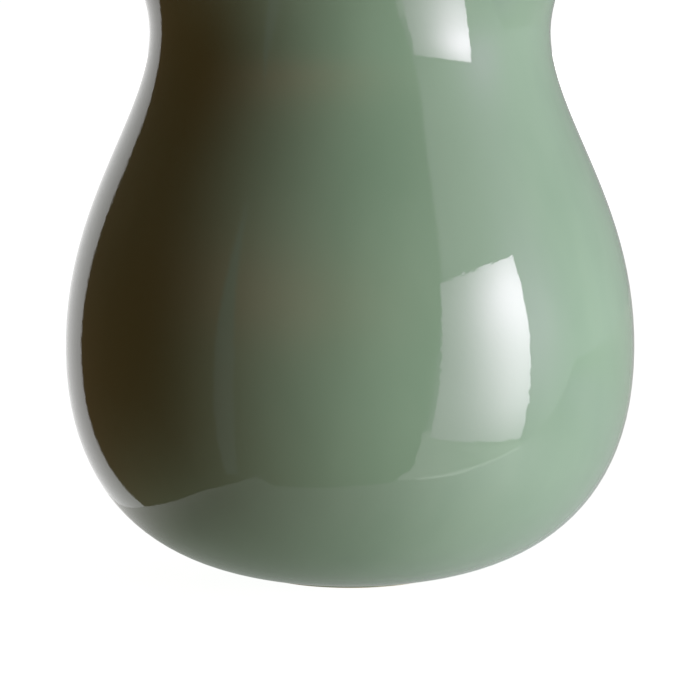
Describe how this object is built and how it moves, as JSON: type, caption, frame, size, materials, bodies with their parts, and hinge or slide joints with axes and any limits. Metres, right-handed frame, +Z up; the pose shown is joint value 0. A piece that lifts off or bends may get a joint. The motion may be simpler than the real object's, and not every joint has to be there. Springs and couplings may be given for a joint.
{
  "type": "meiping vase",
  "caption": "Tall celadon vase with a full round belly, a drawn-in waist, a broad high shoulder, a short narrow neck and a small rolled lip, on a low foot ring",
  "frame": {"origin": "middle of the foot ring's bearing face, on the plane that the vase stands on", "axes": "+Z up along the vase's axis; X and Y lie in the plane of the foot"},
  "size_m": [0.2199, 0.22, 0.4113],
  "materials": {
    "porcelain": "fired bare clay, fine and matte",
    "slip": "fired slip, matte",
    "celadon_glaze": "mirror-gloss grey-green celadon",
    "lining_glaze": "glossy pale celadon"
  },
  "bodies": {
    "root": {"foot_ring": "porcelain", "base_bowl": "porcelain", "belly_section": "porcelain", "shoulder_section": "porcelain", "dome_section": "porcelain", "neck_section": "porcelain", "mouth_rim": "porcelain", "foot_slip": "slip", "belly_slip": "slip", "waist_slip": "slip", "shoulder_slip": "slip", "neck_slip": "slip", "rim_slip": "slip", "outer_glaze": "celadon_glaze", "inner_glaze": "lining_glaze", "base_glaze": "celadon_glaze"}
  },
  "joints": []
}
